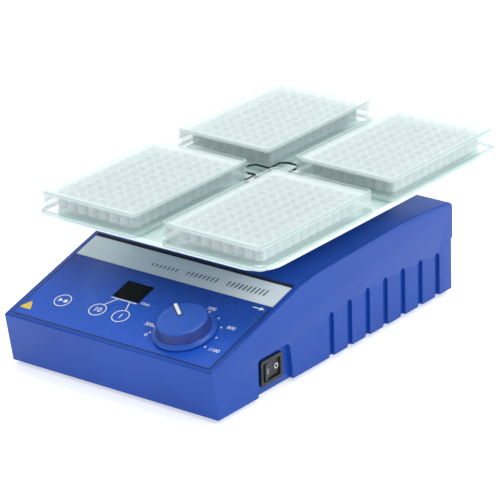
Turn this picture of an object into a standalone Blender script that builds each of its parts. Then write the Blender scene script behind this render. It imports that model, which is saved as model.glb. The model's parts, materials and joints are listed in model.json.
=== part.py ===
"""Orbital shaker for four microplates.

Sizes are in millimetres. The housing has its own frame: x to the right, y to the back, z up,
with its origin at the centre of the housing's bottom edge. An empty carries that frame into the
object's own, whose origin is on the floor under the middle of the whole object.
A second empty carries the sloping control panel's frame: x to the right, y up the slope, z out of it.
"""

import math

import bmesh
import bpy
from mathutils import Matrix, Vector

MM = 0.001
GAP = 0.3  # left between pieces that touch
THROUGH = 2.0  # how far a cutter runs past what it cuts

# Microplates, to the footprint standard for 96 wells.
PLATE_LENGTH = 127.76
PLATE_WIDTH = 85.48
PLATE_HEIGHT = 14.35
PLATE_FLANGE = 2.5
PLATE_LEDGE = 2.2
PLATE_CORNER = 3.2
PLATE_SPACING = 20.0
LID_HEIGHT = 9.8
LID_WALL = 1.0
LID_INSET = 0.9
LID_TOP = 16.5
SKIRT_WALL = 2.6
SKIRT_DEPTH = 4.0

# Tray and the carrier under it.
TRAY_WIDTH = 186.0
TRAY_FRONT = -88.0
TRAY_BACK = 177.0
TRAY_CORNER = 20.0
TRAY_THICKNESS = 4.0
TRAY_TOP = 91.2
ARRAY_Y = 44.2
CARRIER_WIDTH = 132.0
CARRIER_FRONT = -30.0
CARRIER_BACK = 116.0
CARRIER_THICKNESS = 3.9
SCREWS = [(-50.0, 8.0), (50.0, 8.0), (-22.0, 104.0), (22.0, 104.0)]
STUD_RADIUS = 2.5
STUD_TIP = 2.1
STUD_HEIGHT = 1.2
SPRING_LEVEL = 96.3
SPRING_WIRE = 1.6
SPRING_REACH = 23.0
SPRING_HALF_WIDTH = 7.9
HUB_RADIUS = 3.6

# Housing.
HOUSING_WIDTH = 177.0
SIDE_WALL = 4.5
FOOT_HEIGHT = 3.0
FOOT_RADIUS = 9.0
FOOT_X = 62.0
FOOT_Y = 108.0
EDGE_ROUNDING = 1.5
GROOVES = 7
GROOVE_PITCH = 20.95
GROOVE_MIDDLE = 53.4
GROOVE_WIDTH = 5.6
GROOVE_DEPTH = 2.4
GROOVE_TOP = 35.8
GROOVE_TOP_FALL = 0.37  # the tops fall with the square of the place from the middle one

# Control panel, in its own frame.
PANEL_START = (-138.0, 36.5)
PANEL_TILT = math.radians(15.75)
PANEL_WIDTH = 168.4
PANEL_LOW = 1.2
PANEL_HIGH = 94.4
STRIP_LOW = 72.3
PANEL_DEPTH = 1.2
PANEL_GROOVE = 0.45
WINDOW = (-28.5, 42.0, -6.2, 60.0)
KEYS = {"key_start_stop": (-58.5, 24.8), "key_tens": (-28.7, 25.5), "key_ones": (-8.8, 25.5)}
KEY_RADIUS = 6.5
KEY_STEM = 2.0
BOARD_LEVEL = -22.0
BOARD_THICKNESS = 1.6
KNOB_AT = (44.2, 27.9)
KNOB_RADIUS = 22.0
KNOB_HEIGHT = 11.0
POINTER_ANGLE = math.radians(141.0)
SHAFT_RADIUS = 3.0

# Switch in its side pocket: y and z of the opening, x into the wall.
POCKET_DEPTH = 3.0
SWITCH_Y = -74.9
SWITCH_Z = 14.5
SWITCH_LENGTH = 23.3
SWITCH_HEIGHT = 18.4
ROCKER_TILT = math.radians(8.0)

# Mains inlet in the back wall.
INLET_X = 46.0
INLET_Z = 20.0
BACK_WALL = 134.3
INLET_FLANGE = (31.0, 24.0)
INLET_BODY = (27.4, 19.4)

# Pieces inside the housing, as the x and y of their low and high corners.
BASE_PLATE = (-83.7, -130.9, 83.7, 130.9)
POWER_BOARD = (-60.0, 76.0, 24.0, 124.0)
TRANSFORMER = (-54.0, 80.0, -14.0, 118.0)

# Drive: three cranks of one throw carry the tray round without turning it.
THROW = 1.5
MAIN_CRANK_AT = (0.0, -10.0)
IDLER_X = 52.0
IDLER_Y = 92.0
MOTOR_AT = (0.0, 52.0)
CRANK_SHAFT = 4.0
CRANK_DISC = 12.0
DISC_LOW = 71.2
DISC_HIGH = 75.8
PIN_TOP = 82.2
BEARING_OUTER = 11.0
BEARING_HEIGHT = 5.4
PULLEY_LOW = 45.0
PULLEY_HIGH = 53.0
MAIN_PULLEY = 22.0
MOTOR_PULLEY = 8.0
BELT_THICKNESS = 1.4
BRIDGE_LOW = 38.0
BRIDGE_HIGH = 41.0
BRIDGE_HALF_WIDTH = 70.0
BRIDGE_FRONT = -42.0
BRIDGE_BACK = 112.0

# The whole object's middle, seen from the housing: from the nose to the rear plates' edge.
NOSE_Y = -140.55
OBJECT_MIDDLE_Y = (NOSE_Y + ARRAY_Y + PLATE_SPACING / 2 + PLATE_LENGTH) / 2

FINISHES = {
    "blue_plastic": ("3458AE", 0.42, 0.0),
    "panel_film": ("3A62B4", 0.35, 0.0),
    "silver_film": ("B8C2C8", 0.35, 0.3),
    "black_window": ("08090B", 0.12, 0.0),
    "black_plastic": ("15171A", 0.45, 0.0),
    "key_white": ("E9EDF2", 0.45, 0.0),
    "knob_blue": ("3A5FB4", 0.3, 0.0),
    "satin_aluminium": ("D5DEDC", 0.35, 0.9),
    "steel_sheet": ("A9AFB3", 0.35, 1.0),
    "turned_steel": ("B9BDC0", 0.25, 1.0),
    "zinc_weight": ("8F9498", 0.4, 1.0),
    "rubber": ("1B1B1C", 0.85, 0.0),
    "circuit_board": ("1F5B3A", 0.5, 0.0),
    "transformer_tape": ("C9B15A", 0.5, 0.0),
    "clear_plastic": ("E8F3F4", 0.08, 0.0),
    "spring_black": ("121314", 0.35, 0.4),
}


def linear(value):
    """One sRGB channel as the linear number that shaders take."""
    return value / 12.92 if value <= 0.04045 else ((value + 0.055) / 1.055) ** 2.4


def finish(name):
    """The material called name, made on first use."""
    if name in bpy.data.materials:
        return bpy.data.materials[name]
    colour, roughness, metallic = FINISHES[name]
    material = bpy.data.materials.new(name)
    material.use_nodes = True
    shader = material.node_tree.nodes["Principled BSDF"]
    channels = [linear(int(colour[at : at + 2], 16) / 255) for at in (0, 2, 4)]
    shader.inputs["Base Color"].default_value = (*channels, 1)
    shader.inputs["Roughness"].default_value = roughness
    shader.inputs["Metallic"].default_value = metallic
    material.diffuse_color = (*channels, 1)
    return material


def clear_scene():
    for obj in list(bpy.data.objects):
        bpy.data.objects.remove(obj)


def collection(name):
    made = bpy.data.collections.new(name)
    bpy.context.scene.collection.children.link(made)
    return made


def frame_empty(name, parent, place, tilt=0.0):
    """An empty that carries a frame of its own: place in millimetres, tilt about x."""
    empty = bpy.data.objects.new(name, None)
    bpy.data.collections["orbital_shaker"].objects.link(empty)
    empty.parent = parent
    empty.location = Vector(place) * MM
    empty.rotation_euler.x = tilt
    return empty


def add(name, mesh, look, parent, at=(0, 0, 0)):
    """A named piece. Its origin is at a place in its parent's frame, in millimetres."""
    obj = bpy.data.objects.new(name, mesh)
    bpy.data.collections["orbital_shaker"].objects.link(obj)
    obj.parent = parent
    obj.location = Vector(at) * MM
    mesh.materials.append(finish(look))
    return obj


def helper(mesh, parent, at=(0, 0, 0)):
    """A hidden shape that a Boolean takes away or joins on."""
    obj = bpy.data.objects.new("cutter", mesh)
    bpy.data.collections["cutters"].objects.link(obj)
    obj.parent = parent
    obj.location = Vector(at) * MM
    obj.hide_render = True
    obj.display_type = "WIRE"
    return obj


def combine(target, operation, mesh, parent, at=(0, 0, 0)):
    modifier = target.modifiers.new(operation.lower(), "BOOLEAN")
    modifier.operation = operation
    modifier.object = helper(mesh, parent, at)


def smooth(mesh, angle=35):
    mesh.shade_smooth()
    mesh.set_sharp_from_angle(angle=math.radians(angle))
    return mesh


def arc(centre, radius, start, end, steps):
    """The points of an arc, from one angle to another, with both its ends."""
    turns = [start + (end - start) * step / steps for step in range(steps + 1)]
    return [(centre[0] + radius * math.cos(t), centre[1] + radius * math.sin(t)) for t in turns]


def circle(radius, centre=(0, 0), steps=24):
    return arc(centre, radius, 0, 2 * math.pi, steps)[:-1]


def rectangle(low_x, low_y, high_x, high_y):
    return [(low_x, low_y), (high_x, low_y), (high_x, high_y), (low_x, high_y)]


def rounded_rectangle(width, height, radius, centre=(0, 0), steps=5):
    """The outline of a rectangle whose corners are quarter circles."""
    outline = []
    for quarter, (sx, sy) in enumerate(((1, 1), (-1, 1), (-1, -1), (1, -1))):
        corner = (centre[0] + sx * (width / 2 - radius), centre[1] + sy * (height / 2 - radius))
        start = math.pi / 2 * quarter
        outline += arc(corner, radius, start, start + math.pi / 2, steps)
    return outline


def outline_mesh(outlines, low, high, along="Z"):
    """The solid between low and high, inside the first outline and outside the ones within it.

    Along X, an outline is in y and z. Along Y, it is in -x and z.
    """
    curve = bpy.data.curves.new("outline", "CURVE")
    curve.dimensions = "2D"
    curve.fill_mode = "BOTH"
    curve.extrude = (high - low) / 2 * MM
    for outline in outlines:
        spline = curve.splines.new("POLY")
        spline.points.add(len(outline) - 1)
        for point, (x, y) in zip(spline.points, outline):
            point.co = (x * MM, y * MM, 0, 1)
        spline.use_cyclic_u = True
    drawn = bpy.data.objects.new("outline", curve)
    bpy.context.scene.collection.objects.link(drawn)
    graph = bpy.context.evaluated_depsgraph_get()
    mesh = bpy.data.meshes.new_from_object(drawn.evaluated_get(graph))
    bpy.data.objects.remove(drawn)
    bpy.data.curves.remove(curve)
    mesh.transform(Matrix.Translation((0, 0, (low + high) / 2 * MM)))
    upright = Matrix.Rotation(math.pi / 2, 4, "X")
    if along == "X":
        mesh.transform(Matrix.Rotation(math.pi / 2, 4, "Z") @ upright)
    if along == "Y":
        mesh.transform(Matrix.Rotation(math.pi, 4, "Z") @ upright)
    bm = bmesh.new()
    bm.from_mesh(mesh)
    bmesh.ops.remove_doubles(bm, verts=bm.verts, dist=1e-6)
    if len(outlines) == 1:
        bmesh.ops.dissolve_limit(bm, angle_limit=0.001, verts=bm.verts, edges=bm.edges)
    bmesh.ops.recalc_face_normals(bm, faces=bm.faces)
    bm.to_mesh(mesh)
    bm.free()
    return mesh


def box_mesh(low, high):
    """A box between two corners."""
    size = Vector(high) - Vector(low)
    middle = (Vector(high) + Vector(low)) / 2
    bm = bmesh.new()
    place = Matrix.Translation(middle * MM) @ Matrix.Diagonal((*(size * MM), 1))
    bmesh.ops.create_cube(bm, size=1, matrix=place)
    mesh = bpy.data.meshes.new("box")
    bm.to_mesh(mesh)
    bm.free()
    return mesh


def turned_mesh(profile, steps=24, ring=False):
    """A profile of radius and height, listed from the top down its outer side, turned about z.

    A ring's profile closes on itself; any other starts and ends on the axis.
    """
    mesh = bpy.data.meshes.new("profile")
    bm = bmesh.new()
    points = [bm.verts.new((radius * MM, 0, height * MM)) for radius, height in profile]
    pairs = list(zip(points, points[1:]))
    if ring:
        pairs.append((points[-1], points[0]))
    for pair in pairs:
        bm.edges.new(pair)
    bm.to_mesh(mesh)
    bm.free()
    drawn = bpy.data.objects.new("profile", mesh)
    bpy.context.scene.collection.objects.link(drawn)
    screw = drawn.modifiers.new("screw", "SCREW")
    screw.steps = steps
    screw.render_steps = steps
    screw.use_merge_vertices = True
    screw.merge_threshold = 0.00001
    graph = bpy.context.evaluated_depsgraph_get()
    made = bpy.data.meshes.new_from_object(drawn.evaluated_get(graph))
    bpy.data.objects.remove(drawn)
    return smooth(made)


def cylinder_profile(radius, low, high):
    return [(0, high), (radius, high), (radius, low), (0, low)]


def ring_profile(outer, inner, low, high):
    return [(inner, high), (outer, high), (outer, low), (inner, low)]


def housing_outline():
    """The housing seen from its right side, as y and z, from the front foot round to the back."""
    nose = [(-134.3, 0), (-140.2, 34.2), (-140.55, 35.2), (-139.9, 35.95), (-138.0, 36.5)]
    slope_top = panel_point(98.0)
    roof = [
        (-33, 64.6), (-24, 65.7), (-14, 66.3), (15, 67.0), (45, 68.3),
        (71, 69.0), (98, 68.1), (121, 66.4),
    ]
    rear_edge = arc((131.3, 60.8), 4.5, math.pi / 2, 0, 4)
    rear = [(135.8, 37.6), (BACK_WALL, 37.6), (BACK_WALL, 0)]
    return nose + [slope_top] + roof + rear_edge + rear


def panel_point(distance):
    """The y and z of a point on the panel's slope."""
    y, z = PANEL_START
    return (y + distance * math.cos(PANEL_TILT), z + distance * math.sin(PANEL_TILT))


def cavity_outline():
    """The space inside the housing, as y and z: its walls are about 3 mm thick."""
    roof = [(-33, 61.4), (-14, 63.3), (15, 64.0), (45, 65.3), (71, 66.0), (98, 65.1)]
    front = [(-131.1, -THROUGH), (-136.8, 33.8), (-46.0, 59.2)]
    return front + roof + [(129.0, 62.4), (131.3, 60.4), (131.3, -THROUGH)]


def groove_outline(place):
    """One upright groove, as y and z: open at the bottom and round at the top."""
    middle = GROOVE_MIDDLE + place * GROOVE_PITCH
    half = GROOVE_WIDTH / 2
    straight = GROOVE_TOP - GROOVE_TOP_FALL * place**2 - half
    arch = arc((middle, straight), half, 0, math.pi, 6)
    return [(middle - half, -THROUGH), (middle + half, -THROUGH)] + arch


def round_side_edges(obj, side):
    """Rounds the edges where the side faces meet the roof, the nose and the back."""
    mesh = obj.data
    bm = bmesh.new()
    bm.from_mesh(mesh)
    weights = bm.edges.layers.float.new("bevel_weight_edge")
    for edge in bm.edges:
        on_side = all(abs(abs(vert.co.x) - side * MM) < 1e-6 for vert in edge.verts)
        at_foot = all(vert.co.z < 1e-6 for vert in edge.verts)
        if on_side and not at_foot and len({vert.co.x > 0 for vert in edge.verts}) == 1:
            edge[weights] = 1.0
    bm.to_mesh(mesh)
    bm.free()
    bevel = obj.modifiers.new("rounding", "BEVEL")
    bevel.limit_method = "WEIGHT"
    bevel.width = EDGE_ROUNDING * MM
    bevel.segments = 3


def make_housing(shaker, panel):
    half = HOUSING_WIDTH / 2
    shell = outline_mesh([housing_outline()], -half, half, "X")
    housing = add("upper_housing", shell, "blue_plastic", shaker)
    round_side_edges(housing, half)
    inner = half - SIDE_WALL
    combine(housing, "DIFFERENCE", outline_mesh([cavity_outline()], -inner, inner, "X"), shaker)
    cut_side_grooves(housing, shaker, half)
    cut_switch_pocket(housing, shaker, half)
    cut_panel(housing, panel)
    for x, y in crank_places():
        hole = turned_mesh(cylinder_profile(CRANK_SHAFT + 2.6, 55, 75))
        combine(housing, "DIFFERENCE", hole, shaker, (x, y, 0))
    inlet = box_mesh((INLET_X - 14, 128, INLET_Z - 10), (INLET_X + 14, 138, INLET_Z + 10))
    combine(housing, "DIFFERENCE", inlet, shaker)
    return housing


def cut_side_grooves(housing, shaker, half):
    places = range(-(GROOVES // 2), GROOVES // 2 + 1)
    outlines = [groove_outline(place) for place in places]
    deep = half - GROOVE_DEPTH
    for low, high in ((deep, half + THROUGH), (-half - THROUGH, -deep)):
        combine(housing, "DIFFERENCE", outline_mesh(outlines, low, high, "X"), shaker)


def cut_switch_pocket(housing, shaker, half):
    pocket = [(-91.2, -THROUGH), (-52.8, -THROUGH), (-55.6, 24), (-58, 27), (-89.2, 27), (-91.2, 25)]
    low = half - POCKET_DEPTH
    combine(housing, "DIFFERENCE", outline_mesh([pocket], low, half + THROUGH, "X"), shaker)
    at = (SWITCH_Y, SWITCH_Z)
    opening = rounded_rectangle(SWITCH_LENGTH - 2.8, SWITCH_HEIGHT - 2.8, 0.5, at, 1)
    through = outline_mesh([opening], half - 10, half + THROUGH, "X")
    combine(housing, "DIFFERENCE", through, shaker)


def cut_panel(housing, panel):
    """The recess that the film and the strip lie in, and the openings under them."""
    edge = PANEL_WIDTH / 2 + PANEL_GROOVE
    recess = outline_mesh(
        [rectangle(-edge, PANEL_LOW - PANEL_GROOVE, edge, PANEL_HIGH + PANEL_GROOVE)],
        -PANEL_DEPTH - GAP,
        THROUGH * 2,
    )
    combine(housing, "DIFFERENCE", recess, panel)
    holes = [circle(KEY_RADIUS + 0.4, place) for place in KEYS.values()]
    holes.append(circle(5.0, KNOB_AT))
    low_x, low_y, high_x, high_y = WINDOW
    holes.append(rectangle(low_x + 2, low_y + 2, high_x - 2, high_y - 2))
    combine(housing, "DIFFERENCE", outline_mesh(holes, -6, THROUGH), panel)


def crank_places():
    return [MAIN_CRANK_AT, (-IDLER_X, IDLER_Y), (IDLER_X, IDLER_Y)]


def make_base(shaker):
    plate = outline_mesh([rectangle(*BASE_PLATE)], 0.5, 2.5)
    add("base_plate", plate, "steel_sheet", shaker)
    profile = [(0, 0.2), (FOOT_RADIUS - 1, 0.2), (FOOT_RADIUS, -0.6), (FOOT_RADIUS - 1, -FOOT_HEIGHT)]
    profile.append((0, -FOOT_HEIGHT))
    for side_y, end in ((-1, "front"), (1, "rear")):
        for side_x, hand in ((-1, "left"), (1, "right")):
            foot = turned_mesh(profile, 20)
            place = (side_x * FOOT_X, side_y * FOOT_Y, 0)
            add(f"foot_{end}_{hand}", foot, "rubber", shaker, place)


def make_panel(panel):
    """The film, the strip, the window and the keys."""
    half = PANEL_WIDTH / 2
    film = [rectangle(-half, PANEL_LOW, half, STRIP_LOW - GAP)]
    film += [circle(KEY_RADIUS + GAP, place, 28) for place in KEYS.values()]
    film.append(circle(5.0, KNOB_AT, 24))
    low_x, low_y, high_x, high_y = WINDOW
    film.append(rectangle(low_x - GAP, low_y - GAP, high_x + GAP, high_y + GAP))
    add("control_overlay", outline_mesh(film, -PANEL_DEPTH, 0), "panel_film", panel)
    strip = outline_mesh([rectangle(-half, STRIP_LOW, half, PANEL_HIGH)], -PANEL_DEPTH, 0.1)
    add("panel_strip", strip, "silver_film", panel)
    window = outline_mesh([rectangle(*WINDOW)], -PANEL_DEPTH, 0)
    add("display_window", window, "black_window", panel)
    for name, (x, y) in KEYS.items():
        profile = [(0, 0), (KEY_RADIUS, 0), (KEY_RADIUS, -2.4), (KEY_STEM, -2.4)]
        profile += [(KEY_STEM, BOARD_LEVEL + 5.3), (0, BOARD_LEVEL + 5.3)]
        add(name, turned_mesh(profile, 28), "key_white", panel, (x, y, 0))


def make_electronics(shaker, panel):
    top = BOARD_LEVEL + BOARD_THICKNESS
    board = add(
        "control_board",
        outline_mesh([rounded_rectangle(140, 54, 3, (0, 38))], BOARD_LEVEL, top),
        "circuit_board",
        panel,
    )
    for x, y in KEYS.values():
        contact = box_mesh((x - 3, y - 3, top - 0.4), (x + 3, y + 3, top + 3.1))
        combine(board, "UNION", contact, panel)
    low_x, low_y, high_x, high_y = WINDOW
    module = box_mesh((low_x - 1, low_y - 1, -14), (high_x + 1, high_y + 1, -3.9))
    add("display_module", module, "black_plastic", panel)
    pot = [(SHAFT_RADIUS + GAP, -3.9), (12, -3.9), (12, -14), (SHAFT_RADIUS + GAP, -14)]
    add("speed_potentiometer", turned_mesh(pot, 24, True), "steel_sheet", panel, (*KNOB_AT, 0))
    board_top = 6.0 + BOARD_THICKNESS
    power_board = outline_mesh([rectangle(*POWER_BOARD)], 6.0, board_top)
    add("power_board", power_board, "circuit_board", shaker)
    transformer = outline_mesh([rectangle(*TRANSFORMER)], board_top + GAP, 33.0)
    add("transformer", transformer, "transformer_tape", shaker)


def make_knob(panel):
    at = (*KNOB_AT, 0)
    profile = [
        (0, KNOB_HEIGHT),
        (16.4, KNOB_HEIGHT),
        (17.3, KNOB_HEIGHT - 0.5),
        (19.2, 3.4),
        (21.4, 2.8),
        (KNOB_RADIUS, 2.2),
        (KNOB_RADIUS, 0.4),
        (SHAFT_RADIUS + GAP, 0.4),
        (SHAFT_RADIUS + GAP, 8.3),
        (0, 8.3),
    ]
    add("speed_knob", turned_mesh(profile, 48), "knob_blue", panel, at)
    shaft = turned_mesh(cylinder_profile(SHAFT_RADIUS, -12, 8), 20)
    add("knob_shaft", shaft, "turned_steel", panel, at)
    low = KNOB_HEIGHT + GAP
    bar = outline_mesh([rounded_rectangle(12.6, 2.4, 0.5, (11.2, 0), 2)], low, low + 0.8)
    pointer = add("knob_pointer", bar, "key_white", panel, at)
    pointer.rotation_euler.z = POINTER_ANGLE


def make_switch(shaker):
    """The bezel with its body behind the wall, and the rocker on its upright pivot."""
    wall = HOUSING_WIDTH / 2 - POCKET_DEPTH
    at = (wall, SWITCH_Y, SWITCH_Z)
    frame = outline_mesh([rounded_rectangle(SWITCH_LENGTH, SWITCH_HEIGHT, 1.5, steps=3)], GAP, 2.2, "X")
    bezel = add("rocker_bezel", frame, "black_plastic", shaker, at)
    body = rounded_rectangle(SWITCH_LENGTH - 3.6, SWITCH_HEIGHT - 3.6, 0.5, steps=1)
    combine(bezel, "UNION", outline_mesh([body], -19, 1, "X"), shaker, at)
    well = rounded_rectangle(SWITCH_LENGTH - 4.8, SWITCH_HEIGHT - 5.6, 0.5, steps=1)
    combine(bezel, "DIFFERENCE", outline_mesh([well], -9, 4, "X"), shaker, at)
    half = SWITCH_LENGTH / 2 - 3.05
    side = [(-4.5, half - 2.6), (0.5, half), (3.4, half), (2.7, half / 2)]
    outline = side + [(2.4, 0)] + [(x, -y) for x, y in reversed(side)]
    tall = SWITCH_HEIGHT / 2 - 3.3
    pivot = (wall - 1.5, SWITCH_Y, SWITCH_Z)
    rocker = add("rocker", outline_mesh([outline], -tall, tall), "black_plastic", shaker, pivot)
    rocker.rotation_euler.z = ROCKER_TILT


def make_inlet(shaker):
    """A mains inlet in the back wall: a flange, a body with its socket, and three blades."""
    at = (INLET_X, 0, INLET_Z)
    flange_at = BACK_WALL + GAP
    outline = rounded_rectangle(*INLET_FLANGE, 2, steps=3)
    flange = outline_mesh([outline], flange_at, flange_at + 1.8, "Y")
    inlet = add("power_inlet", flange, "black_plastic", shaker, at)
    body_outline = rounded_rectangle(*INLET_BODY, 0.5, steps=1)
    body = outline_mesh([body_outline], 117, flange_at + 0.9, "Y")
    combine(inlet, "UNION", body, shaker, at)
    socket = [(-12, -8), (12, -8), (12, 4.5), (8.5, 8), (-8.5, 8), (-12, 4.5)]
    combine(inlet, "DIFFERENCE", outline_mesh([socket], 120.5, 138, "Y"), shaker, at)
    for x, z in ((-7, -0.5), (7, -0.5), (0, 3.8)):
        blade = box_mesh((x - 1, 119, z - 2), (x + 1, 133, z + 2))
        combine(inlet, "UNION", blade, shaker, at)


def make_bridge(shaker):
    """The folded steel bridge that carries the motor and the crank bearings."""
    wide = BRIDGE_HALF_WIDTH
    thick = BRIDGE_HIGH - BRIDGE_LOW
    outline = [
        (-wide - 9, 2.8), (-wide + thick, 2.8), (-wide + thick, BRIDGE_LOW), (wide - thick, BRIDGE_LOW),
        (wide - thick, 2.8), (wide + 9, 2.8), (wide + 9, 5.0), (wide, 5.0),
        (wide, BRIDGE_HIGH), (-wide, BRIDGE_HIGH), (-wide, 5.0), (-wide - 9, 5.0),
    ]
    sheet = outline_mesh([outline], BRIDGE_FRONT, BRIDGE_BACK, "Y")
    bridge = add("drive_bridge", sheet, "steel_sheet", shaker)
    for x, y in (MAIN_CRANK_AT, MOTOR_AT):
        hole = turned_mesh(cylinder_profile(8.0, BRIDGE_LOW - 5, BRIDGE_HIGH + 5))
        combine(bridge, "DIFFERENCE", hole, shaker, (x, y, 0))
    window = box_mesh((-wide - 20, 0, 12), (wide + 20, 80, 30))
    combine(bridge, "DIFFERENCE", window, shaker)


def make_motor(shaker):
    at = (*MOTOR_AT, 0)
    case = [(0, 24), (3, 24), (3, 37.7), (17.2, 37.7), (18, 36.7), (18, 9), (17, 8), (0, 8)]
    add("motor_case", turned_mesh(case, 32), "steel_sheet", shaker, at)
    add("motor_shaft", turned_mesh(cylinder_profile(2.5, 24.4, 55), 16), "turned_steel", shaker, at)
    pulley = turned_mesh(pulley_profile(MOTOR_PULLEY, 2.5 + GAP), 24, True)
    add("motor_pulley", pulley, "satin_aluminium", shaker, at)


def pulley_profile(radius, bore):
    """A flat rim between two flanges."""
    return [
        (bore, PULLEY_HIGH), (radius + 1.4, PULLEY_HIGH), (radius + 1.4, PULLEY_HIGH - 1),
        (radius, PULLEY_HIGH - 1), (radius, PULLEY_LOW + 1), (radius + 1.4, PULLEY_LOW + 1),
        (radius + 1.4, PULLEY_LOW), (bore, PULLEY_LOW),
    ]


def belt_outline(offset):
    """The line that runs offset outside both pulleys: an arc round each, and their common tangents."""
    start, end = Vector(MAIN_CRANK_AT), Vector(MOTOR_AT)
    run = end - start
    bearing = math.atan2(run.y, run.x)
    contact = math.acos((MAIN_PULLEY - MOTOR_PULLEY) / run.length)
    big = arc(start, MAIN_PULLEY + offset, bearing + contact, bearing + 2 * math.pi - contact, 16)
    small = arc(end, MOTOR_PULLEY + offset, bearing - contact, bearing + contact, 8)
    return big + small


def make_belt(shaker):
    outlines = [belt_outline(GAP + BELT_THICKNESS), belt_outline(GAP)]
    belt = outline_mesh(outlines, PULLEY_LOW + 1.4, PULLEY_HIGH - 1.4)
    add("drive_belt", belt, "rubber", shaker)


def crank_mesh(shaft_low):
    """A shaft with a disc on top, turned about the shaft's axis."""
    profile = [(0, DISC_HIGH), (CRANK_DISC - 0.6, DISC_HIGH), (CRANK_DISC, DISC_HIGH - 0.6)]
    profile += [(CRANK_DISC, DISC_LOW), (CRANK_SHAFT, DISC_LOW), (CRANK_SHAFT, shaft_low), (0, shaft_low)]
    return turned_mesh(profile, 28)


def add_crank(name, place, shaft_low, shaker):
    """A crank at rest with its pin towards the back."""
    at = (*place, 0)
    crank = add(name, crank_mesh(shaft_low), "turned_steel", shaker, at)
    pin = turned_mesh(cylinder_profile(CRANK_SHAFT, DISC_HIGH - 1, PIN_TOP), 24)
    combine(crank, "UNION", pin, shaker, (place[0], place[1] + THROW, 0))


def make_main_drive(shaker):
    at = (*MAIN_CRANK_AT, 0)
    add_crank("main_crank", MAIN_CRANK_AT, 12.0, shaker)
    bore = CRANK_SHAFT + GAP
    pulley = turned_mesh(pulley_profile(MAIN_PULLEY, bore), 40, True)
    add("main_pulley", pulley, "satin_aluminium", shaker, at)
    half_disc = arc((0, 0), 19, math.pi, 2 * math.pi, 14) + [(9, 7), (-9, 7)]
    weight = outline_mesh([half_disc, circle(bore)], PULLEY_HIGH + GAP, 60.5)
    add("counterweight", weight, "zinc_weight", shaker, at)
    wall = BEARING_OUTER + GAP
    tube = [
        (wall, 37.7), (21, 37.7), (21, 34.7), (14.5, 34.7), (14.5, 9),
        (8, 9), (8, 10.4), (wall, 10.4),
    ]
    add("main_bearing_housing", turned_mesh(tube, 28, True), "satin_aluminium", shaker, at)
    for name, low in (("main_bearing_lower", 10.7), ("main_bearing_upper", 31.9)):
        ring = turned_mesh(ring_profile(BEARING_OUTER, bore, low, low + BEARING_HEIGHT), 24, True)
        add(name, ring, "turned_steel", shaker, at)


def make_idlers(shaker):
    for side, hand in ((-1, "left"), (1, "right")):
        place = (side * IDLER_X, IDLER_Y)
        add_crank(f"idler_crank_{hand}", place, 44.0, shaker)
        bore = CRANK_SHAFT + GAP
        block = [(0, 43.6), (bore, 43.6), (bore, 62), (11, 62), (12, 61), (12, 45), (18, 44.4)]
        block += [(18, 41.3), (0, 41.3)]
        add(f"idler_bearing_{hand}", turned_mesh(block), "satin_aluminium", shaker, (*place, 0))


def carrier_levels():
    top = TRAY_TOP - TRAY_THICKNESS - GAP
    return top - CARRIER_THICKNESS, top


def pin_places():
    return [(x, y + THROW) for x, y in crank_places()]


def make_carrier(shaker):
    """The aluminium plate that rides on the three crank pins, with a bearing boss over each."""
    low, high = carrier_levels()
    depth = CARRIER_BACK - CARRIER_FRONT
    middle = (CARRIER_FRONT + CARRIER_BACK) / 2
    outline = rounded_rectangle(CARRIER_WIDTH, depth, 12, (0, middle))
    carrier = add("tray_carrier", outline_mesh([outline], low, high), "satin_aluminium", shaker)
    for x, y in SCREWS:
        hole = turned_mesh(cylinder_profile(2.4, low - THROUGH, high + THROUGH), 14)
        combine(carrier, "DIFFERENCE", hole, shaker, (x, y, 0))
    boss_low = DISC_HIGH + 0.9
    outer = BEARING_OUTER + 3.4
    for x, y in pin_places():
        boss = turned_mesh(cylinder_profile(outer, boss_low, low + 1))
        combine(carrier, "UNION", boss, shaker, (x, y, 0))
        seat = turned_mesh(cylinder_profile(BEARING_OUTER + GAP, boss_low - THROUGH, low + 0.2))
        combine(carrier, "DIFFERENCE", seat, shaker, (x, y, 0))
    for name, (x, y) in zip(("main", "left", "right"), pin_places()):
        profile = ring_profile(BEARING_OUTER, CRANK_SHAFT + GAP, boss_low + 0.3, low - 0.2)
        add(f"tray_bearing_{name}", turned_mesh(profile, 24, True), "turned_steel", shaker, (x, y, 0))


def make_tray(shaker):
    """The flat tray, with low tapered studs that stand inside each plate's skirt."""
    low = TRAY_TOP - TRAY_THICKNESS
    middle = (TRAY_FRONT + TRAY_BACK) / 2
    outline = rounded_rectangle(TRAY_WIDTH, TRAY_BACK - TRAY_FRONT, TRAY_CORNER, (0, middle), 8)
    tray = add("tray", outline_mesh([outline], low, TRAY_TOP), "satin_aluminium", shaker)
    for x, y in SCREWS:
        thread = turned_mesh(cylinder_profile(2.4, low - THROUGH, TRAY_TOP - 1), 14)
        combine(tray, "DIFFERENCE", thread, shaker, (x, y, 0))
    stud_low, stud_high = TRAY_TOP - 1, TRAY_TOP + STUD_HEIGHT
    stud_profile = [(0, stud_high), (STUD_TIP, stud_high), (STUD_RADIUS, stud_low), (0, stud_low)]
    for x, y in stud_places():
        stud = turned_mesh(stud_profile, 12)
        combine(tray, "UNION", stud, shaker, (x, y, 0))
    carrier_low, _ = carrier_levels()
    head = carrier_low - GAP
    for number, (x, y) in enumerate(SCREWS, 1):
        profile = [(0, TRAY_TOP - 1.4), (2.0, TRAY_TOP - 1.4), (2.0, head), (3.8, head)]
        profile += [(3.8, head - 2.4), (1.6, head - 2.4), (1.6, head - 1.2), (0, head - 1.2)]
        add(f"tray_screw_{number}", turned_mesh(profile, 14), "turned_steel", shaker, (x, y, 0))


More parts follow.
